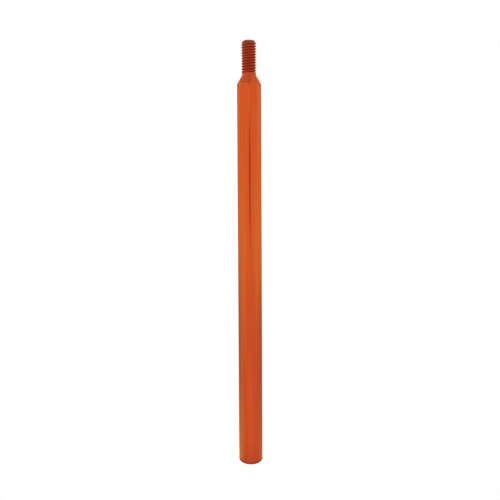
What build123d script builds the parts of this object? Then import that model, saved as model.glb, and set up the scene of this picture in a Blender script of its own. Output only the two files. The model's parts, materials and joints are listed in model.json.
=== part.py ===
"""A short screw-in extension pole for a paint roller, in millimetres.

The pole stands on its lower end, with its axis on +Z and its origin at the centre of the lower end face.
An aluminium tube carries a turned fitting at each end: a male stud above and a tapped socket below.
Each fitting's spigot is pressed into the tube and held by a slotted spring pin driven across it.
"""

from build123d import *
from math import radians, tan
import os

os.makedirs("parts", exist_ok=True)

# Body: 1/2 in tube with a 0.065 in wall, 8 in from the lower end face to the foot of the cone.
BODY_RADIUS = 12.7 / 2
TUBE_WALL = 1.65
BODY_LENGTH = 203.2
TUBE_BORE_RADIUS = BODY_RADIUS - TUBE_WALL

# Screw thread at both ends: 5/16 in, 18 threads per inch.
THREAD_MAJOR_RADIUS = 7.90 / 2
THREAD_MINOR_RADIUS = 6.60 / 2
THREAD_LENGTH = 16.7
THREAD_LEAD_CHAMFER = 1.2

# Stud fitting, above the tube.
LAND_HEIGHT = 0.8
CONE_HEIGHT = 4.76
NECK_RADIUS = 7.36 / 2
NECK_HEIGHT = 1.4
STUD_SPIGOT_LENGTH = 22.0

# Socket fitting, at the foot of the tube.
FLANGE_HEIGHT = 1.8
RIM_CHAMFER = 0.15
SOCKET_DEPTH = 19.5
SOCKET_SPIGOT_LENGTH = 32.0
COUNTERSINK_RADIUS = 8.5 / 2
DRILL_POINT_HALF_ANGLE = 59.0

# Both spigots: grooves that hold the adhesive, and a lead-in chamfer on the inner end.
SPIGOT_CHAMFER = 0.8
GROOVE_DEPTH = 0.3
GROOVE_WIDTH = 1.5
GROOVE_SPACING = 4.0

# Slotted spring pins, driven across the tube along X.
PIN_RADIUS = 1.6 / 2
PIN_WALL = 0.3
PIN_SLOT = 0.35
PIN_LENGTH = 12.4
PIN_CHAMFER = 0.12
STUD_PIN_DROP = 12.0
SOCKET_PIN_RISE = 26.0

# Heights worked out from the sizes above.
TUBE_TOP = BODY_LENGTH - LAND_HEIGHT
CONE_TOP = BODY_LENGTH + CONE_HEIGHT
NECK_TOP = CONE_TOP + NECK_HEIGHT
STUD_TOP = NECK_TOP + THREAD_LENGTH
STUD_PIN_HEIGHT = TUBE_TOP - STUD_PIN_DROP
SOCKET_PIN_HEIGHT = FLANGE_HEIGHT + SOCKET_PIN_RISE
DRILL_POINT_DEPTH = THREAD_MINOR_RADIUS / tan(radians(DRILL_POINT_HALF_ANGLE))


def pin_plane(height):
    """The plane across the pole at a pin's height, with its normal along +X."""
    return Plane(origin=(0, 0, height), x_dir=(0, 1, 0), z_dir=(1, 0, 0))


def groove_profile(height):
    """Sketch one adhesive groove's section, a rectangle cut into the spigot's surface."""
    with Locations((TUBE_BORE_RADIUS, height)):
        Rectangle(2 * GROOVE_DEPTH, GROOVE_WIDTH)


# Tube: a plain drawn tube, cross-drilled near each end for the pins.
with BuildPart() as tube:
    with BuildSketch(Plane.XY.offset(FLANGE_HEIGHT)):
        Circle(BODY_RADIUS)
        Circle(TUBE_BORE_RADIUS, mode=Mode.SUBTRACT)
    extrude(amount=TUBE_TOP - FLANGE_HEIGHT)
    for pin_height in (STUD_PIN_HEIGHT, SOCKET_PIN_HEIGHT):
        with BuildSketch(pin_plane(pin_height)):
            Circle(PIN_RADIUS)
        extrude(amount=BODY_RADIUS, both=True, mode=Mode.SUBTRACT)

# Stud fitting: one turned profile, from the spigot's inner end up to the tip of the thread.
with BuildPart() as stud_fitting:
    with BuildSketch(Plane.XZ):
        with BuildLine():
            Polyline(
                (0, TUBE_TOP - STUD_SPIGOT_LENGTH),
                (TUBE_BORE_RADIUS - SPIGOT_CHAMFER, TUBE_TOP - STUD_SPIGOT_LENGTH),
                (TUBE_BORE_RADIUS, TUBE_TOP - STUD_SPIGOT_LENGTH + SPIGOT_CHAMFER),
                (TUBE_BORE_RADIUS, TUBE_TOP),
                (BODY_RADIUS, TUBE_TOP),
                (BODY_RADIUS, BODY_LENGTH),
                (NECK_RADIUS, CONE_TOP),
                (NECK_RADIUS, NECK_TOP),
                (THREAD_MAJOR_RADIUS, NECK_TOP),
                (THREAD_MAJOR_RADIUS, STUD_TOP - THREAD_LEAD_CHAMFER),
                (THREAD_MAJOR_RADIUS - THREAD_LEAD_CHAMFER, STUD_TOP),
                (0, STUD_TOP),
                close=True,
            )
        make_face()
    revolve(axis=Axis.Z)
    with BuildSketch(Plane.XZ):
        for step in (-1, 1):
            groove_profile(STUD_PIN_HEIGHT + step * GROOVE_SPACING)
    revolve(axis=Axis.Z, mode=Mode.SUBTRACT)
    with BuildSketch(pin_plane(STUD_PIN_HEIGHT)):
        Circle(PIN_RADIUS)
    extrude(amount=BODY_RADIUS, both=True, mode=Mode.SUBTRACT)

# Socket fitting: end flange and spigot, bored from below for the thread, with a countersunk mouth.
with BuildPart() as socket_fitting:
    with BuildSketch(Plane.XZ):
        with BuildLine():
            Polyline(
                (COUNTERSINK_RADIUS, 0),
                (BODY_RADIUS - RIM_CHAMFER, 0),
                (BODY_RADIUS, RIM_CHAMFER),
                (BODY_RADIUS, FLANGE_HEIGHT),
                (TUBE_BORE_RADIUS, FLANGE_HEIGHT),
                (TUBE_BORE_RADIUS, FLANGE_HEIGHT + SOCKET_SPIGOT_LENGTH - SPIGOT_CHAMFER),
                (TUBE_BORE_RADIUS - SPIGOT_CHAMFER, FLANGE_HEIGHT + SOCKET_SPIGOT_LENGTH),
                (0, FLANGE_HEIGHT + SOCKET_SPIGOT_LENGTH),
                (0, SOCKET_DEPTH + DRILL_POINT_DEPTH),
                (THREAD_MINOR_RADIUS, SOCKET_DEPTH),
                (THREAD_MINOR_RADIUS, COUNTERSINK_RADIUS - THREAD_MINOR_RADIUS),
                close=True,
            )
        make_face()
    revolve(axis=Axis.Z)
    with BuildSketch(Plane.XZ):
        for step in (-1, 1):
            groove_profile(SOCKET_PIN_HEIGHT + step * GROOVE_SPACING)
    revolve(axis=Axis.Z, mode=Mode.SUBTRACT)
    with BuildSketch(pin_plane(SOCKET_PIN_HEIGHT)):
        Circle(PIN_RADIUS)
    extrude(amount=BODY_RADIUS, both=True, mode=Mode.SUBTRACT)

# Stud pin: rolled spring steel, open along one side, chamfered at both ends.
with BuildPart() as stud_pin:
    with BuildSketch(pin_plane(STUD_PIN_HEIGHT)):
        Circle(PIN_RADIUS)
    extrude(amount=PIN_LENGTH / 2, both=True)
    chamfer(stud_pin.edges().filter_by(GeomType.CIRCLE), PIN_CHAMFER)
    with BuildSketch(pin_plane(STUD_PIN_HEIGHT)):
        Circle(PIN_RADIUS - PIN_WALL)
        with Locations((0, -PIN_RADIUS)):
            Rectangle(PIN_SLOT, 2 * PIN_RADIUS)
    extrude(amount=PIN_LENGTH / 2, both=True, mode=Mode.SUBTRACT)

# Socket pin: the same pin across the lower spigot.
with BuildPart() as socket_pin:
    with Locations((0, 0, SOCKET_PIN_HEIGHT - STUD_PIN_HEIGHT)):
        add(stud_pin.part)

for name, piece in (
    ("tube", tube),
    ("stud_fitting", stud_fitting),
    ("socket_fitting", socket_fitting),
    ("stud_pin", stud_pin),
    ("socket_pin", socket_pin),
):
    piece.part.label = name
    export_step(piece.part, f"parts/{name}.step")
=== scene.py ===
"""The roller extension pole's looks: finely turned end fittings with real screw threads, in satin
orange anodised aluminium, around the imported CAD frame. All lengths are in metres."""

import json
import math

import bmesh
import bpy
from mathutils import Matrix, Vector


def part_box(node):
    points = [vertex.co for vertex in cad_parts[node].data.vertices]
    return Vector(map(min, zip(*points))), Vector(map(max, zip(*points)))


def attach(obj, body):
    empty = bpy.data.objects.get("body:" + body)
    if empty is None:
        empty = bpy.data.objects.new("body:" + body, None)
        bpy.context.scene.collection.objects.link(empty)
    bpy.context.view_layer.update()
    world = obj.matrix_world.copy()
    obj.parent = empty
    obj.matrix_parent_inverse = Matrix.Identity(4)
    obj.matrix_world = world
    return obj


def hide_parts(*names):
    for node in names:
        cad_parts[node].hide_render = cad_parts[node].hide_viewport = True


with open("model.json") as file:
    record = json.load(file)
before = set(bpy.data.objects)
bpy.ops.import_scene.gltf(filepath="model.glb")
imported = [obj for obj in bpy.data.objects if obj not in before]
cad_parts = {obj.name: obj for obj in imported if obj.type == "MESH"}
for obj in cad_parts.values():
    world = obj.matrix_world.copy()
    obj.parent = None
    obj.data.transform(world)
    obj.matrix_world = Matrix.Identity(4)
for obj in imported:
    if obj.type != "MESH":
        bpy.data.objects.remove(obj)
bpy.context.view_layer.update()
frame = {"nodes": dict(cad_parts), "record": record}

# ---------------------------------------------------------------------------------------------
# Sizes read from the frame
# ---------------------------------------------------------------------------------------------
MOUNTS = {mount["name"]: mount for mount in frame["record"]["mounts"]}
TUBE_LOW, TUBE_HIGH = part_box("tube")
STUD_LOW, STUD_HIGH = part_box("stud_fitting")
SOCKET_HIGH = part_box("socket_fitting")[1]
STUD_PIN_LOW, STUD_PIN_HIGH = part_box("stud_pin")
SOCKET_PIN_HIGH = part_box("socket_pin")[1]


def mount_span(name):
    """The lowest and highest z of a round mount's wall."""
    mount = MOUNTS[name]
    half = mount["dims"]["length_mm"] / 2000
    return mount["pos_m"][2] - half, mount["pos_m"][2] + half


def mount_radius(name):
    return MOUNTS[name]["dims"]["r_mm"] / 1000


# The lower rim's chamfer isn't in the body mount's length.
RIM_CHAMFER = 0.00015
BODY_RADIUS = mount_radius("body")
BODY_TOP = RIM_CHAMFER + MOUNTS["body"]["dims"]["length_mm"] / 1000
NECK_TOP, CHAMFER_START = mount_span("male_thread")
STUD_TOP = STUD_HIGH.z
STUD_MAJOR = mount_radius("male_thread")
SOCKET_MINOR = mount_radius("socket")

# ---------------------------------------------------------------------------------------------
# Sizes of the finer features
# ---------------------------------------------------------------------------------------------
# Both threads: 18 turns per inch, with 60 degree flanks. Half of a flat is given for each section.
PITCH = 0.0254 / 18
FLANK_SLOPE = 1 / math.tan(math.radians(30))
STUD_THREAD_DEPTH = 0.55 * PITCH
STUD_CREST_HALF = PITCH / 11
STUD_ROOT = STUD_MAJOR - STUD_THREAD_DEPTH
SOCKET_THREAD_DEPTH = 0.5 * PITCH
SOCKET_ROOT_HALF = PITCH / 16
SOCKET_MAJOR = SOCKET_MINOR + SOCKET_THREAD_DEPTH
SOCKET_DEPTH = 0.0195
SOCKET_THREAD_END = 0.0175
THREAD_RUN_OUT = 0.8 * PITCH
THREAD_START = NECK_TOP - 0.4 * PITCH
THREAD_TURN = math.radians(234)
LEAD_RADIUS = STUD_MAJOR - (STUD_TOP - CHAMFER_START)

NECK_RADIUS = 0.00368
NECK_HEIGHT = 0.0014
BORE_RADIUS = 0.0047
COUNTERSINK_RADIUS = 0.00425
SPIGOT_CHAMFER = 0.0008
GROOVE_DEPTH = 0.0003
GROOVE_WIDTH = 0.0015
GROOVE_SPACING = 0.004
DRILL_POINT = math.tan(math.radians(59))
EDGE_EASE = 0.00005

# The pins' holes, and the light deburring of their mouths.
PIN_HOLE_RADIUS = (STUD_PIN_HIGH.y - STUD_PIN_LOW.y) / 2
STUD_PIN_Z = STUD_PIN_HIGH.z - PIN_HOLE_RADIUS
SOCKET_PIN_Z = SOCKET_PIN_HIGH.z - PIN_HOLE_RADIUS
DEBURR_REACH = 0.0002
DEBURR_SLOPE = 0.5

# Mesh fineness, and how far a cutter reaches past what it cuts.
SECTORS = 128
DRILL_SECTORS = 48
CORNER_ANGLE = math.radians(12)
CUTTER_MARGIN = 0.0002

# In a new mesh, points nearer than WELD are joined and edges shorter than NO_LENGTH are dropped.
# After a cut, SLIVER serves for both.
WELD = 0.0000001
NO_LENGTH = 0.00000001
SLIVER = 0.0000005


# ---------------------------------------------------------------------------------------------
# Mesh helpers
# ---------------------------------------------------------------------------------------------
def eased(points, ease, closed=False):
    """Break each corner of an outline: the corner becomes a short three-point curve.

    The curve takes at most two fifths of the shorter side beside the corner. Its middle point is
    halfway from the corner to the middle of its two ends.
    """
    most = 0.4
    result = []
    count = len(points)
    for index, corner in enumerate(points):
        if not closed and index in (0, count - 1):
            result.append(corner)
            continue
        here = Vector(corner)
        before = Vector(points[index - 1])
        after = Vector(points[(index + 1) % count])
        shorter_side = min((before - here).length, (after - here).length)
        reach = min(ease, shorter_side * most)
        start = here + (before - here).normalized() * reach
        end = here + (after - here).normalized() * reach
        middle = (start + end) / 4 + here / 2
        result += [tuple(start), tuple(middle), tuple(end)]
    return result


def turned_mesh(name, column_at, threaded=(0, 0), lead=0, closed=False):
    """Skin a ring of columns of (radius, height) points round the z axis.

    threaded is the first and last index of the column's screw-thread stretch, and lead is how many
    points that stretch has climbed after one turn. closed joins each column's ends, as a tube needs.
    """
    form = bmesh.new()
    rings = []
    for sector in range(SECTORS):
        angle = 2 * math.pi * sector / SECTORS
        rings.append([
            form.verts.new((radius * math.cos(angle), radius * math.sin(angle), height))
            for radius, height in column_at(angle)
        ])
    size = len(rings[0])
    first, last = threaded

    def after_one_turn(index):
        if lead and first <= index <= last:
            return min(index + lead, last)
        return index

    for sector, ring in enumerate(rings):
        wraps = sector == SECTORS - 1
        beside = rings[0] if wraps else rings[sector + 1]
        for index in range(size if closed else size - 1):
            upper = (index + 1) % size
            near = after_one_turn(index) if wraps else index
            far = after_one_turn(upper) if wraps else upper
            corners = []
            for vert in (ring[index], beside[near], beside[far], ring[upper]):
                if vert not in corners:
                    corners.append(vert)
            if len(corners) > 2:
                form.faces.new(corners)
    bmesh.ops.remove_doubles(form, verts=form.verts, dist=WELD)
    bmesh.ops.dissolve_degenerate(form, edges=form.edges, dist=NO_LENGTH)
    bmesh.ops.recalc_face_normals(form, faces=form.faces)
    return mesh_object(name, form)


def mesh_object(name, form):
    """Turn a bmesh into a smooth-shaded object with its true corners kept sharp."""
    mesh = bpy.data.meshes.new(name)
    form.to_mesh(mesh)
    form.free()
    smooth_with_corners(mesh)
    piece = bpy.data.objects.new(name, mesh)
    bpy.context.scene.collection.objects.link(piece)
    return piece


def smooth_with_corners(mesh):
    for polygon in mesh.polygons:
        polygon.use_smooth = True
    mesh.set_sharp_from_angle(angle=CORNER_ANGLE)


def thread_column(angle, low, high, low_radius, high_radius, radius_at):
    """One column of a screw thread between two heights, cut off square at both ends.

    It starts and ends beyond both heights at any angle up to two turns, so that every column has the
    same number of points.
    """
    turns = math.ceil((high - low) / PITCH) + 1
    points = []
    for turn in range(-2, turns):
        for phase in THREAD_PHASES:
            height = low + PITCH * (turn + phase + angle / (2 * math.pi))
            if height <= low:
                points.append((low_radius, low))
            elif height >= high:
                points.append((high_radius, high))
            else:
                points.append((radius_at(phase, height), height))
    return points


def with_rings(points, heights):
    """Add a point to every upright run of an outline at each of the heights that it crosses."""
    result = []
    for (radius, start), (next_radius, end) in zip(points, points[1:] + points[:1]):
        result.append((radius, start))
        if abs(radius - next_radius) < SLIVER:
            crossed = [height for height in heights if min(start, end) < height < max(start, end)]
            result += [(radius, height) for height in sorted(crossed, reverse=start > end)]
    return result


def cut_away(piece, *cutters):
    """Machine a piece: each cutter's shape is taken out of it, and the cutter is thrown away."""
    for cutter in cutters:
        cut = piece.modifiers.new("cut", "BOOLEAN")
        cut.operation = "DIFFERENCE"
        cut.solver = "EXACT"
        cut.object = cutter
        graph = bpy.context.evaluated_depsgraph_get()
        machined = bpy.data.meshes.new_from_object(piece.evaluated_get(graph))
        merge_slivers(machined)
        piece.modifiers.clear()
        piece.data = machined
        bpy.data.objects.remove(cutter)
    smooth_with_corners(piece.data)


def merge_slivers(mesh):
    form = bmesh.new()
    form.from_mesh(mesh)
    bmesh.ops.remove_doubles(form, verts=form.verts, dist=SLIVER)
    bmesh.ops.dissolve_degenerate(form, edges=form.edges, dist=SLIVER)
    form.to_mesh(mesh)
    form.free()


def lead_chamfer_cutter():
    """The ring that turns the stud's lead chamfer, with its cone on the inside."""
    over = CUTTER_MARGIN
    return turned_mesh(
        "cutter",
        lambda angle: [
            (LEAD_RADIUS - over, STUD_TOP + over),
            (STUD_MAJOR + over, CHAMFER_START - over),
            (STUD_MAJOR + over, STUD_TOP + over),
        ],
        closed=True,
    )


def countersink_cutter():
    """The cone that opens the socket's mouth. Its point is inside the bore."""
    over = CUTTER_MARGIN
    return turned_mesh(
        "cutter",
        lambda angle: [(0, -over), (COUNTERSINK_RADIUS + over, -over), (0, COUNTERSINK_RADIUS)],
    )


def cross_drill(height):
    """The shape that a pin's drill and the deburring tool take away, lying along x."""
    form = bmesh.new()
    mouth_radius = PIN_HOLE_RADIUS + 2 * DEBURR_REACH * DEBURR_SLOPE
    stations = (
        (-BODY_RADIUS - DEBURR_REACH, mouth_radius),
        (-BODY_RADIUS + DEBURR_REACH, PIN_HOLE_RADIUS),
        (BODY_RADIUS - DEBURR_REACH, PIN_HOLE_RADIUS),
        (BODY_RADIUS + DEBURR_REACH, mouth_radius),
    )
    rings = []
    for x, radius in stations:
        ring = []
        for step in range(DRILL_SECTORS):
            angle = 2 * math.pi * step / DRILL_SECTORS
            ring.append(form.verts.new((x, radius * math.cos(angle), height + radius * math.sin(angle))))
        rings.append(ring)
    for ring, after in zip(rings, rings[1:]):
        for step in range(DRILL_SECTORS):
            beside = (step + 1) % DRILL_SECTORS
            form.faces.new((ring[step], ring[beside], after[beside], after[step]))
    form.faces.new(rings[0])
    form.faces.new(rings[-1])
    bmesh.ops.recalc_face_normals(form, faces=form.faces)
    return mesh_object("drill", form)


def keep_skin_round(mesh):
    """Give the tube's skin exactly radial normals, so that the cuts in it don't show in its shine."""
    almost = 0.999
    normals = [(0.0, 0.0, 0.0)] * len(mesh.loops)
    for polygon in mesh.polygons:
        outward = Vector((*polygon.center.xy, 0)).normalized()
        if polygon.center.xy.length > BODY_RADIUS * almost and polygon.normal.dot(outward) > almost:
            for loop in polygon.loop_indices:
                place = mesh.vertices[mesh.loops[loop].vertex_index].co
                normals[loop] = tuple(Vector((place.x, place.y, 0)).normalized())
    mesh.normals_split_custom_set(normals)


def smooth_step(value):
    value = min(max(value, 0.0), 1.0)
    return value * value * (3 - 2 * value)


# ---------------------------------------------------------------------------------------------
# Thread sections. At a phase of 0 a section is nearest to the axis, and at 0.5 furthest from it.
# ---------------------------------------------------------------------------------------------
def flank_phases(depth, flat_half):
    """Where in a turn a section's flank starts and ends, given its depth and half of its outer flat."""
    end = 0.5 - flat_half / PITCH
    return end - depth / (FLANK_SLOPE * PITCH), end


def even_steps(low, high, count):
    return [low + (high - low) * step / count for step in range(count)]


# One set of phases has every corner of both sections, with a few steps between them.
STUD_FLANK = flank_phases(STUD_THREAD_DEPTH, STUD_CREST_HALF)
SOCKET_FLANK = flank_phases(SOCKET_THREAD_DEPTH, SOCKET_ROOT_HALF)
RISING_PHASES = even_steps(0.0, STUD_FLANK[0], 2) + [STUD_FLANK[0]]
RISING_PHASES += even_steps(SOCKET_FLANK[0], STUD_FLANK[1], 4) + [STUD_FLANK[1], SOCKET_FLANK[1]]
THREAD_PHASES = RISING_PHASES + [0.5] + [1 - phase for phase in RISING_PHASES[:0:-1]]


def stud_thread_radius(phase, height):
    """Outside thread: flat crest, 60 degree flanks, flat root, and a run-out into the neck."""
    from_crest = abs(phase - 0.5) * PITCH
    flank = STUD_MAJOR - (from_crest - STUD_CREST_HALF) * FLANK_SLOPE
    radius = min(STUD_MAJOR, max(STUD_ROOT, flank))
    return NECK_RADIUS + (radius - NECK_RADIUS) * smooth_step((height - THREAD_START) / THREAD_RUN_OUT)


def socket_thread_radius(phase, height):
    """Inside thread: the section turned inside out, with a run-out at its end."""
    from_root = abs(phase - 0.5) * PITCH
    flank = SOCKET_MAJOR - (from_root - SOCKET_ROOT_HALF) * FLANK_SLOPE
    radius = min(SOCKET_MAJOR, max(SOCKET_MINOR, flank))
    fade = smooth_step((SOCKET_THREAD_END - height) / THREAD_RUN_OUT)
    return SOCKET_MINOR + (radius - SOCKET_MINOR) * fade


# ---------------------------------------------------------------------------------------------
# Pieces
# ---------------------------------------------------------------------------------------------
def groove(height):
    """The four corners of an adhesive groove round a spigot, from its lower edge up."""
    low, high = height - GROOVE_WIDTH / 2, height + GROOVE_WIDTH / 2
    floor = BORE_RADIUS - GROOVE_DEPTH
    return [(BORE_RADIUS, low), (floor, low), (floor, high), (BORE_RADIUS, high)]


def make_stud_end():
    """The male fitting: spigot, land, cone, neck, thread and chamfered tip."""
    lower = eased(
        [
            (0, STUD_LOW.z),
            (BORE_RADIUS - SPIGOT_CHAMFER, STUD_LOW.z),
            (BORE_RADIUS, STUD_LOW.z + SPIGOT_CHAMFER),
            *groove(STUD_PIN_Z - GROOVE_SPACING),
            *groove(STUD_PIN_Z + GROOVE_SPACING),
            (BORE_RADIUS, TUBE_HIGH.z),
            (BODY_RADIUS, TUBE_HIGH.z),
            (BODY_RADIUS, BODY_TOP),
            (NECK_RADIUS, NECK_TOP - NECK_HEIGHT),
            (NECK_RADIUS, THREAD_START),
        ],
        EDGE_EASE,
    )[:-1]
    tip = [(0, STUD_TOP)]

    def column_at(angle):
        thread = thread_column(
            angle + THREAD_TURN, THREAD_START, STUD_TOP, NECK_RADIUS, STUD_ROOT, stud_thread_radius
        )
        return lower + thread + tip

    first = len(lower)
    last = len(column_at(0)) - len(tip) - 1
    stud = turned_mesh("stud_end", column_at, (first, last), len(THREAD_PHASES))
    cut_away(stud, cross_drill(STUD_PIN_Z), lead_chamfer_cutter())
    return stud


def make_socket_end():
    """The female fitting: countersunk tapped hole, end flange and spigot."""
    outside = eased(
        [
            (BORE_RADIUS, 0),
            (BODY_RADIUS - RIM_CHAMFER, 0),
            (BODY_RADIUS, RIM_CHAMFER),
            (BODY_RADIUS, TUBE_LOW.z),
            (BORE_RADIUS, TUBE_LOW.z),
            *groove(SOCKET_PIN_Z - GROOVE_SPACING),
            *groove(SOCKET_PIN_Z + GROOVE_SPACING),
            (BORE_RADIUS, SOCKET_HIGH.z - SPIGOT_CHAMFER),
            (BORE_RADIUS - SPIGOT_CHAMFER, SOCKET_HIGH.z),
            (0, SOCKET_HIGH.z),
        ],
        EDGE_EASE,
    )
    blind_end = [(SOCKET_MINOR, SOCKET_DEPTH), (0, SOCKET_DEPTH + SOCKET_MINOR / DRILL_POINT)]

    def column_at(angle):
        thread = thread_column(
            angle, 0, SOCKET_THREAD_END, SOCKET_MINOR, SOCKET_MINOR, socket_thread_radius
        )
        return outside[::-1] + thread + blind_end

    first = len(outside)
    last = len(column_at(0)) - len(blind_end) - 1
    socket = turned_mesh("socket_end", column_at, (first, last), len(THREAD_PHASES))
    cut_away(socket, cross_drill(SOCKET_PIN_Z), countersink_cutter())
    return socket


def make_tube():
    """The body: a plain tube with its end edges broken."""
    outline = eased(
        [
            (BORE_RADIUS, TUBE_LOW.z),
            (BODY_RADIUS, TUBE_LOW.z),
            (BODY_RADIUS, TUBE_HIGH.z),
            (BORE_RADIUS, TUBE_HIGH.z),
        ],
        EDGE_EASE,
        closed=True,
    )
    beside_pins = []
    for pin_z in (SOCKET_PIN_Z, STUD_PIN_Z):
        beside_pins += [pin_z - 2 * PIN_HOLE_RADIUS, pin_z + 2 * PIN_HOLE_RADIUS]
    outline = with_rings(outline, beside_pins)
    shell = turned_mesh("tube_shell", lambda angle: outline, closed=True)
    cut_away(shell, cross_drill(SOCKET_PIN_Z), cross_drill(STUD_PIN_Z))
    keep_skin_round(shell.data)
    return shell


stud_end = make_stud_end()
socket_end = make_socket_end()
tube_shell = make_tube()

for piece, node, slot in (
    (stud_end, "stud_fitting", "fittings"),
    (socket_end, "socket_fitting", "fittings"),
    (tube_shell, "tube", "tube"),
):
    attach(piece, "root")
    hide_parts(node)


# ---------------------------------------------------------------------------------------------
# Node helpers
# ---------------------------------------------------------------------------------------------
class Graph:
    """A node tree with short calls: numbers and colours are set, and sockets are linked."""

    def __init__(self, owner):
        owner.use_nodes = True
        self.nodes = owner.node_tree.nodes
        self.links = owner.node_tree.links

    def put(self, socket, value):
        if isinstance(value, bpy.types.NodeSocket):
            self.links.new(value, socket)
        elif isinstance(value, tuple) and len(value) == 3 and socket.type == "RGBA":
            socket.default_value = (*value, 1)
        else:
            socket.default_value = value

    def add(self, kind, settings=None, **inputs):
        node = self.nodes.new(kind)
        for name, value in (settings or {}).items():
            setattr(node, name, value)
        for name, value in inputs.items():
            self.put(node.inputs[name], value)
        return node

    def combine(self, operation, first, second=0.0):
        """Two numbers joined by one operation of arithmetic."""
        node = self.nodes.new("ShaderNodeMath")
        node.operation = operation
        self.put(node.inputs[0], first)
        self.put(node.inputs[1], second)
        return node.outputs[0]

    def ramp(self, value, low, high, low_result=0.0, high_result=1.0):
        """A smooth step from one result to the other, as the value goes from low to high."""
        node = self.add("ShaderNodeMapRange", {"interpolation_type": "SMOOTHSTEP"})
        for index, item in enumerate((value, low, high, low_result, high_result)):
            self.put(node.inputs[index], item)
        return node.outputs[0]

    def blend_value(self, share, first, second):
        node = self.add("ShaderNodeMix", {"data_type": "FLOAT"})
        self.put(node.inputs[0], share)
        self.put(node.inputs[2], first)
        self.put(node.inputs[3], second)
        return node.outputs[0]

    def blend(self, share, first, second):
        node = self.add("ShaderNodeMix", {"data_type": "RGBA"})
        self.put(node.inputs[0], share)
        self.put(node.inputs[6], first)
        self.put(node.inputs[7], second)
        return node.outputs[2]

    def either(self, share, first, second):
        """One surface or another, by a share from 0 to 1."""
        node = self.add("ShaderNodeMixShader")
        for index, item in enumerate((share, first, second)):
            self.put(node.inputs[index], item)
        return node.outputs[0]

    def noise(self, vector, scale, detail=2.0):
        node = self.add("ShaderNodeTexNoise", Vector=vector, Scale=scale, Detail=detail)
        return node.outputs["Fac"]

    def bump(self, height, distance):
        return self.add("ShaderNodeBump", Height=height, Distance=distance).outputs["Normal"]

    def place(self):
        """The shaded point in the shared frame."""
        return self.add("ShaderNodeTexCoord").outputs["Object"]

    def split(self, vector):
        return tuple(self.add("ShaderNodeSeparateXYZ", Vector=vector).outputs)

    def vector(self, x, y, z):
        return self.add("ShaderNodeCombineXYZ", X=x, Y=y, Z=z).outputs[0]

    def radius(self, x, y):
        squares = self.combine("ADD", self.combine("MULTIPLY", x, x), self.combine("MULTIPLY", y, y))
        return self.combine("SQRT", squares)

    def tint(self, first, second):
        """Two colours multiplied."""
        node = self.add("ShaderNodeMix", {"data_type": "RGBA", "blend_type": "MULTIPLY"})
        self.put(node.inputs[0], 1.0)
        self.put(node.inputs[6], first)
        self.put(node.inputs[7], second)
        return node.outputs[2]

    def from_camera(self, kind, vector):
        """A VECTOR or a POINT of the camera's own space, as x, y and z of the shared frame."""
        settings = {"vector_type": kind, "convert_from": "CAMERA", "convert_to": "WORLD"}
        node = self.add("ShaderNodeVectorTransform", settings, Vector=vector)
        return self.split(node.outputs[0])

    def camera_height(self):
        return self.from_camera("POINT", (0.0, 0.0, 0.0))[2]

    def seen_from_camera(self, x, y):
        """How far a level direction lies to the camera's right, and how far beyond the pole."""
        forward_x, forward_y, _ = self.from_camera("VECTOR", (0.0, 0.0, 1.0))
        length = self.radius(forward_x, forward_y)
        east = self.combine("DIVIDE", forward_x, length)
        north = self.combine("DIVIDE", forward_y, length)
        right = self.combine(
            "SUBTRACT", self.combine("MULTIPLY", x, north), self.combine("MULTIPLY", y, east)
        )
        beyond = self.combine(
            "ADD", self.combine("MULTIPLY", x, east), self.combine("MULTIPLY", y, north)
        )
        return right, beyond


def metal(name):
    """A new bare metal material, its graph, and the inputs of its Principled shader."""
    material = bpy.data.materials.new(name)
    graph = Graph(material)
    shader = graph.nodes["Principled BSDF"]
    graph.put(shader.inputs["Metallic"], 1.0)
    return material, graph, shader.inputs


# ---------------------------------------------------------------------------------------------
# Materials
# ---------------------------------------------------------------------------------------------
ORANGE = (0.68, 0.096, 0.0208)
ORANGE_LIGHT = (0.715, 0.115, 0.0220)
ORANGE_DEEP = (0.64, 0.076, 0.0198)
# The thread's two colours are painted shade for its grooves: darker than the fittings', and darkest in
# the root.
ROOT_SHADE_BROWN = (0.48, 0.069, 0.026)
CREST_SHADE_ORANGE = (0.56, 0.088, 0.030)
# Painted shade for the neck, tucked between the cone and the thread.
NECK_SHADE_ORANGE = (0.52, 0.066, 0.020)
TIP_DARK = (0.43, 0.101, 0.038)
TIP_LIGHT = (0.50, 0.124, 0.046)
# A paler ring on the shoulder's corner: worn edge and a painted highlight.
WORN_EDGE_AND_GLINT = (0.76, 0.16, 0.045)
GRAZING_TINT = (0.92, 0.76, 0.66)
STEEL = (0.40, 0.39, 0.375)
STEEL_DARK = (0.30, 0.29, 0.28)

# Fineness of each pattern: how many of its cells there are in a metre.
BROAD_DIE_LINES = 650
FINE_DIE_LINES = 1900
CLOUDS = 60
LATHE_RINGS = 9000
PATCHES = 700
SPECKLE = 2500
PIN_LINES = 6000
PIN_TONES = 900

# How much slower a line changes along its piece than across it, and which lines are drawn.
BROAD_STRETCH = 0.012
FINE_STRETCH = 0.006
CLOUD_STRETCH = 0.3
PIN_STRETCH = 0.05
DRAW_SEED = 0.18

# The part of a pattern's values that its colours and its gloss run over. The first serves for most.
NOISE_SPAN = (0.3, 0.7)
BROAD_SPAN = (0.32, 0.68)
FINE_SPAN = (0.35, 0.75)
CLOUD_SPAN = (0.3, 0.8)

# How busy a pattern is, where it isn't as busy as the rest.
SOFT_DETAIL = 1.5
BUSY_DETAIL = 3.0

# How much of its own colour each mark gives where it is strongest, and how much of each fitting's
# pattern is rings.
FINE_SHARE = 0.5
CLOUD_SHARE = 0.25
NECK_SHADE_SHARE = 0.7
STAIN_SHARE = 0.35
TURNED_RINGS = 0.6
THREAD_RINGS = 0.5

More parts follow.
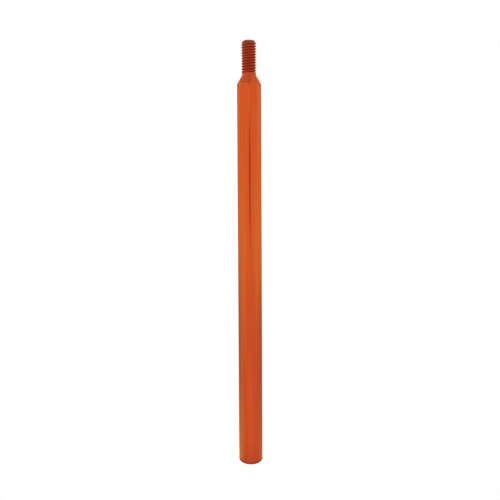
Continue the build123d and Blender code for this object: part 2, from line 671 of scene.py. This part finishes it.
# The shoulder's paler line, worn edge and painted highlight both, is full and gone this far from the
# corner.
# The neck's painted shade comes in over this much below and above the cone's top, and the tip's colour
# over this many turns and the chamfer.
WEAR_AND_GLINT_REACH = (0.0001, 0.0003)
NECK_BLUR = 0.0003
TIP_TURNS = 2

# Roughness across each pattern, the thread's being from root to crest.
DRAWN_ROUGHNESS = (0.13, 0.19)
TURNED_ROUGHNESS = (0.2, 0.28)
THREAD_ROUGHNESS = (0.5, 0.34)
PIN_ROUGHNESS = (0.3, 0.42)

# Height of each surface's marks.
DIE_LINE_HEIGHT = 0.000002
LATHE_MARK_HEIGHT = 0.000003
THREAD_MARK_HEIGHT = 0.000016
PIN_MARK_HEIGHT = 0.000006


def drawn_orange():
    """Dyed tube: long die lines along the pole in the colour, the gloss and the surface."""
    material, graph, shader = metal("orange_drawn")
    x, y, z = graph.split(graph.place())
    along = graph.combine("ADD", graph.combine("MULTIPLY", z, BROAD_STRETCH), DRAW_SEED)
    broad = graph.noise(graph.vector(x, y, along), BROAD_DIE_LINES, SOFT_DETAIL)
    along = graph.combine("MULTIPLY", z, FINE_STRETCH)
    fine = graph.noise(graph.vector(x, y, along), FINE_DIE_LINES)
    along = graph.combine("MULTIPLY", z, CLOUD_STRETCH)
    cloud = graph.noise(graph.vector(x, y, along), CLOUDS)
    colour = graph.blend(graph.ramp(broad, *BROAD_SPAN), ORANGE_DEEP, ORANGE_LIGHT)
    colour = graph.blend(graph.ramp(fine, *FINE_SPAN, 0.0, FINE_SHARE), colour, ORANGE)
    colour = graph.blend(graph.ramp(cloud, *CLOUD_SPAN, 0.0, CLOUD_SHARE), colour, ORANGE_LIGHT)
    graph.put(shader["Base Color"], colour)
    graph.put(shader["Specular Tint"], GRAZING_TINT)
    graph.put(shader["Roughness"], graph.ramp(fine, *NOISE_SPAN, *DRAWN_ROUGHNESS))
    graph.put(shader["Normal"], graph.bump(fine, DIE_LINE_HEIGHT))
    return material


def turned_orange():
    """Dyed fittings: fine lathe rings, painted shade on the neck, and a paler ring at the shoulder's
    corner that is worn edge and painted highlight.
    """
    material, graph, shader = metal("orange_turned")
    place = graph.place()
    x, y, z = graph.split(place)
    rings = graph.noise(graph.vector(graph.radius(x, y), 0.0, z), LATHE_RINGS)
    patches = graph.noise(place, PATCHES, BUSY_DETAIL)
    tone = graph.blend_value(TURNED_RINGS, patches, rings)
    colour = graph.blend(graph.ramp(tone, *NOISE_SPAN), ORANGE_DEEP, ORANGE_LIGHT)
    # The shoulder's paler ring: partly a worn edge, partly a painted highlight on the corner.
    from_corner = graph.combine("ABSOLUTE", graph.combine("SUBTRACT", z, BODY_TOP))
    wear_and_glint = graph.combine("MULTIPLY", graph.ramp(from_corner, *WEAR_AND_GLINT_REACH, 1.0, 0.0), patches)
    colour = graph.blend(wear_and_glint, colour, WORN_EDGE_AND_GLINT)
    cone_top = NECK_TOP - NECK_HEIGHT
    # Painted shade: the neck between the cone and the thread is darkened.
    neck_shade = graph.ramp(z, cone_top - NECK_BLUR, cone_top + NECK_BLUR, 0.0, NECK_SHADE_SHARE)
    colour = graph.blend(neck_shade, colour, NECK_SHADE_ORANGE)
    graph.put(shader["Base Color"], colour)
    graph.put(shader["Specular Tint"], GRAZING_TINT)
    graph.put(shader["Roughness"], graph.ramp(rings, *NOISE_SPAN, *TURNED_ROUGHNESS))
    graph.put(shader["Normal"], graph.bump(rings, LATHE_MARK_HEIGHT))
    return material


def threaded_orange(name, root_radius, crest_radius):
    """Dyed thread: painted shade darkens it all over and most in the root. Duller in the root, stained
    at the crest, browner at the stud's tip.
    """
    material, graph, shader = metal(name)
    place = graph.place()
    x, y, z = graph.split(place)
    radius = graph.radius(x, y)
    height = graph.ramp(radius, root_radius, crest_radius)
    speckle = graph.noise(place, SPECKLE, BUSY_DETAIL)
    rings = graph.noise(graph.vector(radius, 0.0, z), LATHE_RINGS)
    marks = graph.blend_value(THREAD_RINGS, speckle, rings)
    stain = graph.ramp(marks, *NOISE_SPAN, 0.0, STAIN_SHARE)
    # Painted shade: the root's colour is the darkest, and the crest's is darker than the fittings'.
    colour = graph.blend(height, ROOT_SHADE_BROWN, graph.blend(stain, CREST_SHADE_ORANGE, ROOT_SHADE_BROWN))
    tip = graph.blend(graph.ramp(rings, *NOISE_SPAN), TIP_DARK, TIP_LIGHT)
    near_tip = graph.ramp(z, CHAMFER_START - TIP_TURNS * PITCH, STUD_TOP)
    graph.put(shader["Base Color"], graph.blend(near_tip, colour, tip))
    graph.put(shader["Specular Tint"], GRAZING_TINT)
    graph.put(shader["Roughness"], graph.ramp(height, 0.0, 1.0, *THREAD_ROUGHNESS))
    graph.put(shader["Normal"], graph.bump(marks, THREAD_MARK_HEIGHT))
    return material


def pin_steel():
    """Oiled spring steel, drawn along the pin, which lies along x."""
    material, graph, shader = metal("pin_steel")
    place = graph.place()
    x, y, z = graph.split(place)
    lines = graph.noise(graph.vector(graph.combine("MULTIPLY", x, PIN_STRETCH), y, z), PIN_LINES)
    tone = graph.noise(place, PIN_TONES, BUSY_DETAIL)
    colour = graph.blend(graph.ramp(tone, *NOISE_SPAN), STEEL_DARK, STEEL)
    graph.put(shader["Base Color"], colour)
    graph.put(shader["Roughness"], graph.ramp(lines, *NOISE_SPAN, *PIN_ROUGHNESS))
    graph.put(shader["Normal"], graph.bump(lines, PIN_MARK_HEIGHT))
    return material


def dress(piece, material, inner_material, is_inner):
    """Give a piece its main material, and a second one on the faces that is_inner picks."""
    piece.data.materials.append(material)
    piece.data.materials.append(inner_material)
    for polygon in piece.data.polygons:
        polygon.material_index = 1 if is_inner(polygon.center) else 0


def in_stud_thread(place):
    return place.z > THREAD_START


def in_socket_thread(place):
    """Inside the socket, but not on its 45 degree countersink."""
    from_countersink = abs(place.xy.length + place.z - COUNTERSINK_RADIUS)
    return place.xy.length < SOCKET_MAJOR and place.z < SOCKET_DEPTH and from_countersink > EDGE_EASE / 2


turned = turned_orange()
stud_thread = threaded_orange("orange_stud_thread", STUD_ROOT, STUD_MAJOR)
socket_thread = threaded_orange("orange_socket_thread", SOCKET_MAJOR, SOCKET_MINOR)
dress(stud_end, turned, stud_thread, in_stud_thread)
dress(socket_end, turned, socket_thread, in_socket_thread)
tube_shell.data.materials.append(drawn_orange())
steel = pin_steel()
for node in ("stud_pin", "socket_pin"):
    pin = frame["nodes"][node]
    pin.data.materials.clear()
    pin.data.materials.append(steel)

# ---------------------------------------------------------------------------------------------
# Stage
# ---------------------------------------------------------------------------------------------
# The camera is close in front of the pole and looks a little down, with its lens shifted.
CAMERA_DISTANCE = 0.2923
CAMERA_HEIGHT = 0.1692
CAMERA_SIDE = 0.00027
CAMERA_PITCH = math.radians(2.96)
CAMERA_ROLL = math.radians(-0.29)
LENS = 39.5
LENS_SHIFT = -0.1458
NEAREST_SEEN = 0.01

# The studio, as the metal mirrors it. Each pair says where one tint starts to give way to the next and
# where it is gone, in a direction that runs from -1, at the camera, to 1, beyond the pole. The last
# pair's runs from 0, level, to 1, straight up.
WHITE = (1.0, 1.0, 1.0)
FRONT_TINT = (0.93, 0.93, 0.96)
SIDE_TINT = (1.01, 1.04, 0.97)
EDGE_TINT = (0.93, 1.13, 0.99)
BEYOND_TINT = (0.50, 0.29, 0.13)
OVERHEAD_TINT = (0.74, 0.77, 0.96)
FRONT_TO_SIDE = (-0.95, 0.0)
SIDE_TO_EDGE = (0.0, 0.6)
EDGE_TO_BEYOND = (0.5, 0.97)
LEVEL_TO_OVERHEAD = (0.1, 0.9)

# The seam overhead: its level, the half widths at which it is full and gone, and the heights between
# which it fades in.
SEAM_LEVEL = 0.56
SEAM_HALF = (0.02, 0.16)
SEAM_HEIGHTS = (0.15, 0.35)

# The floor, and its mirror image, which dims where the pole's foot stands on it.
FLOOR_HALF = 6.0
FLOOR_GAP = 0.00002
FLOOR_NEAR = 0.03
FLOOR_WARM_END = 0.65
FLOOR_FAR = 0.9
FLOOR_FAR_TINT = (1.0, 1.09, 1.0)
# The floor's mirror image is painted dimmer and warmer near the pole, as shade.
FLOOR_NEAR_SHADE = (0.90, 0.82, 0.97)
CONTACT_LEVEL = 0.3
CONTACT_START = 0.0063
CONTACT_END = 0.0082

# Painted light and shade on that image: a shadow beyond the pole and near its foot, dimmer and brighter
# patches to its sides, and bright bands. Each row has the direction along which it grows, the values at
# which it starts and is full, the distances from the pole at which it is full and gone, and its tint.
FLOOR_LIGHT_AND_SHADE = (
    ("beyond", -0.2, 0.8, FLOOR_NEAR, FLOOR_FAR, (0.72, 0.90, 0.90)),
    ("beyond", -0.2, -0.9, CONTACT_START, 0.035, (0.86, 0.80, 0.96)),
    ("right", 0.45, 0.98, FLOOR_NEAR, 0.6, (0.86, 0.87, 0.97)),
    ("right", 0.6, 1.0, FLOOR_NEAR, 0.11, (1.05, 1.16, 1.0)),
    ("right", -0.6, -1.0, FLOOR_NEAR, 0.13, (1.06, 1.46, 1.0)),
    ("right", -0.6, -1.0, 0.6, 1.0, (0.96, 0.97, 1.0)),
    # A bright band in front of the pole and another on its right: the second row of each pair takes
    # the first row's tint away again near the pole.
    ("beyond", -0.2, -0.9, 0.62, 0.78, (1.03, 1.13, 1.0)),
    ("beyond", -0.2, -0.9, 0.44, 0.56, (0.97, 0.885, 1.0)),
    ("right", 0.6, 1.0, 0.85, 1.4, (1.0, 1.18, 0.95)),
    ("right", 0.6, 1.0, 0.20, 0.42, (1.0, 0.85, 1.05)),
)

# The camera's own reflection: its place behind the camera, its colour, and its outline's half widths
# with their heights over the lens's axis.
LENS_GAP = 0.01
LENS_SIDE = 0.010
LENS_TINT = (0.58, 0.32, 0.50)
LENS_OUTLINE = (
    (0.012, -0.104),
    (0.026, -0.085),
    (0.042, -0.040),
    (0.042, 0.0),
    (0.024, 0.022),
    (0.008, 0.038),
)


def studio_tint(graph, beyond):
    """What the metal mirrors round it: soft white in front, brighter sides, and a dim far side."""
    colour = graph.blend(graph.ramp(beyond, *FRONT_TO_SIDE), FRONT_TINT, SIDE_TINT)
    colour = graph.blend(graph.ramp(beyond, *SIDE_TO_EDGE), colour, EDGE_TINT)
    return graph.blend(graph.ramp(beyond, *EDGE_TO_BEYOND), colour, BEYOND_TINT)


def floor_image(graph, distance, right, beyond):
    """The floor as the metal mirrors it: the studio's colour with painted light and shade, warmer and
    dimmer near the pole, and a painted contact shadow at its foot.
    """
    # Painted light and shade on the floor's mirror image: dimmer near the pole, then each row's shadow
    # or bright band.
    nearness = graph.ramp(distance, FLOOR_NEAR, FLOOR_WARM_END, 1.0, 0.0)
    light_and_shade = graph.blend(nearness, FLOOR_FAR_TINT, FLOOR_NEAR_SHADE)
    directions = {"right": right, "beyond": beyond}
    for direction, start, full, near, far, tint in FLOOR_LIGHT_AND_SHADE:
        facing = graph.ramp(directions[direction], start, full)
        share = graph.combine("MULTIPLY", facing, graph.ramp(distance, near, far, 1.0, 0.0))
        light_and_shade = graph.tint(light_and_shade, graph.blend(share, WHITE, tint))
    image = graph.add("ShaderNodeEmission")
    graph.put(image.inputs["Color"], graph.tint(studio_tint(graph, beyond), light_and_shade))
    graph.put(
        image.inputs["Strength"],
        graph.ramp(distance, CONTACT_START, CONTACT_END, CONTACT_LEVEL, 1.0),
    )
    return image.outputs[0]


def floor_white():
    """Plain white to the camera, or nothing at all to a camera below the floor."""
    material = bpy.data.materials.new("floor_white")
    graph = Graph(material)
    x, y, _ = graph.split(graph.place())
    distance = graph.radius(x, y)
    right, beyond = graph.seen_from_camera(
        graph.combine("DIVIDE", x, distance), graph.combine("DIVIDE", y, distance)
    )
    is_glossy = graph.add("ShaderNodeLightPath").outputs["Is Glossy Ray"]
    white = graph.add("ShaderNodeEmission", Color=WHITE).outputs[0]
    clear = graph.add("ShaderNodeBsdfTransparent").outputs[0]
    surface = graph.either(is_glossy, white, floor_image(graph, distance, right, beyond))
    is_above = graph.combine("GREATER_THAN", graph.camera_height(), 0.0)
    graph.put(graph.nodes["Material Output"].inputs["Surface"], graph.either(is_above, clear, surface))
    return material


def add_floor():
    form = bmesh.new()
    bmesh.ops.create_grid(form, x_segments=1, y_segments=1, size=FLOOR_HALF)
    floor = mesh_object("floor", form)
    floor.location.z = -FLOOR_GAP
    floor.data.materials.append(floor_white())


def add_lens_reflection():
    """A dark card behind the camera, which only the metal shows, as a thin dark line down its front."""
    form = bmesh.new()
    left = [form.verts.new((LENS_SIDE - half, height, LENS_GAP)) for half, height in LENS_OUTLINE]
    right = [form.verts.new((LENS_SIDE + half, height, LENS_GAP)) for half, height in LENS_OUTLINE]
    form.faces.new(left[::-1] + right)
    card = mesh_object("lens_card", form)
    material = bpy.data.materials.new("lens_dark")
    graph = Graph(material)
    glow = graph.add("ShaderNodeEmission", Color=LENS_TINT)
    graph.put(graph.nodes["Material Output"].inputs["Surface"], glow.outputs[0])
    card.data.materials.append(material)
    card.visible_camera = False
    card.visible_diffuse = False
    card.visible_shadow = False
    card.parent = bpy.context.scene.camera


def add_camera():
    data = bpy.data.cameras.new("camera")
    data.lens = LENS
    data.clip_start = NEAREST_SEEN
    camera = bpy.data.objects.new("camera", data)
    bpy.context.scene.collection.objects.link(camera)
    camera.location = (CAMERA_SIDE, -CAMERA_DISTANCE, CAMERA_HEIGHT)
    turn = Matrix.Rotation(math.pi / 2 - CAMERA_PITCH, 4, "X") @ Matrix.Rotation(CAMERA_ROLL, 4, "Z")
    camera.rotation_euler = turn.to_euler()
    shift_lens_at_home(camera)
    bpy.context.scene.camera = camera


def shift_lens_at_home(camera):
    """Shift the lens while the camera turns by Euler angles, which number 1 among its rotation modes.

    Other views turn it by a quaternion, mode 0, and so get a centred lens.
    """
    curve = camera.data.driver_add("shift_y")
    curve.driver.type = "AVERAGE"
    mode = curve.driver.variables.new()
    mode.targets[0].id = camera
    mode.targets[0].data_path = "rotation_mode"
    scale = curve.modifiers[0] if curve.modifiers else curve.modifiers.new("GENERATOR")
    scale.coefficients = (0, LENS_SHIFT)


def light_world():
    """An even white studio that turns with the camera, with a slightly darker seam overhead."""
    world = bpy.data.worlds.new("studio")
    bpy.context.scene.world = world
    graph = Graph(world)
    direction = graph.add("ShaderNodeTexCoord").outputs["Generated"]
    x, y, z = graph.split(direction)
    right, beyond = graph.seen_from_camera(x, y)
    overhead = graph.ramp(z, *LEVEL_TO_OVERHEAD)
    colour = graph.blend(overhead, studio_tint(graph, beyond), OVERHEAD_TINT)
    by_seam = graph.ramp(graph.combine("ABSOLUTE", right), *SEAM_HALF, 1.0, 0.0)
    seam = graph.combine("MULTIPLY", by_seam, graph.ramp(z, *SEAM_HEIGHTS))
    level = graph.ramp(seam, 0.0, 1.0, 1.0, SEAM_LEVEL)
    is_glossy = graph.add("ShaderNodeLightPath").outputs["Is Glossy Ray"]
    background = graph.nodes["Background"].inputs
    graph.put(background["Color"], graph.blend(is_glossy, WHITE, colour))
    graph.put(background["Strength"], graph.blend_value(is_glossy, 1.0, level))


add_camera()
add_floor()
add_lens_reflection()
light_world()
bpy.context.scene.view_settings.view_transform = "Standard"
